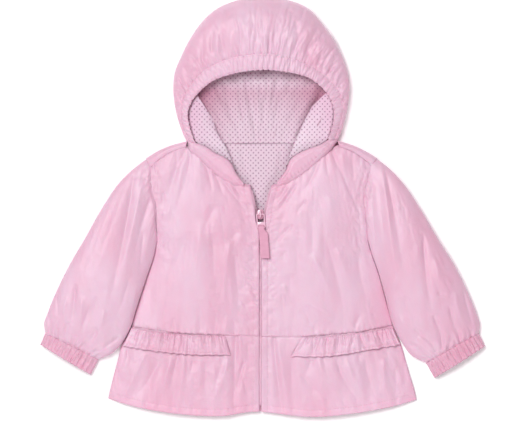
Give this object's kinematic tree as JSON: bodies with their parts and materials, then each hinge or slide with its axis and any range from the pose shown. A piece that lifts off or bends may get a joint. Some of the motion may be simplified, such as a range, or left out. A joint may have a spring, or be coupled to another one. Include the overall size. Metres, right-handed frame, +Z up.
{
  "type": "baby's hooded windbreaker",
  "caption": "Pale pink hooded zip windbreaker for a baby, laid flat, with an elastic hood edge and cuffs, a gathered skirt, pocket ruffles and a dotted lining.",
  "frame": {"origin": "the middle of the laid-out garment's outline, on the surface that it lies on", "axes": "+X to the right of a viewer who looks down on the front of the garment, +Y from the hem to the hood, +Z up"},
  "size_m": [0.5568, 0.524, 0.0398],
  "materials": {
    "shell": "light polyester plain weave with a satin sheen",
    "elastic": "the same polyester gathered over elastic",
    "lining": "soft plain-weave lining with small printed dots",
    "zip_tape": "woven zip tape",
    "zip_metal": "pink lacquered zip parts",
    "ribbon": "folded and stitched fabric tab"
  },
  "bodies": {
    "garment": {"back_panel": "shell", "front_left": "shell", "front_right": "shell", "peplum_back": "shell", "peplum_left": "shell", "peplum_right": "shell", "ruffle_left": "shell", "ruffle_right": "shell", "sleeve_left": "shell", "sleeve_right": "shell", "cuff_left": "elastic", "cuff_right": "elastic", "hood_crown": "shell", "hood_back": "shell", "hood_casing": "elastic", "hood_lining": "lining", "hood_lining_back": "lining", "lining_corner_left": "lining", "lining_corner_right": "lining", "neck_lining": "lining", "lapel_left": "shell", "lapel_right": "shell", "zip_left": "zip_tape", "zip_right": "zip_tape", "slider": "zip_metal"},
    "pull": {"pull_link": "zip_metal", "pull_tab": "ribbon"}
  },
  "joints": [
    {"name": "pull_hinge", "type": "hinge", "parent": "garment", "child": "pull", "pos_m": [-0.002, -0.00675, 0.016], "axis": [-1, 0, 0], "range_deg": [0, 150]}
  ]
}
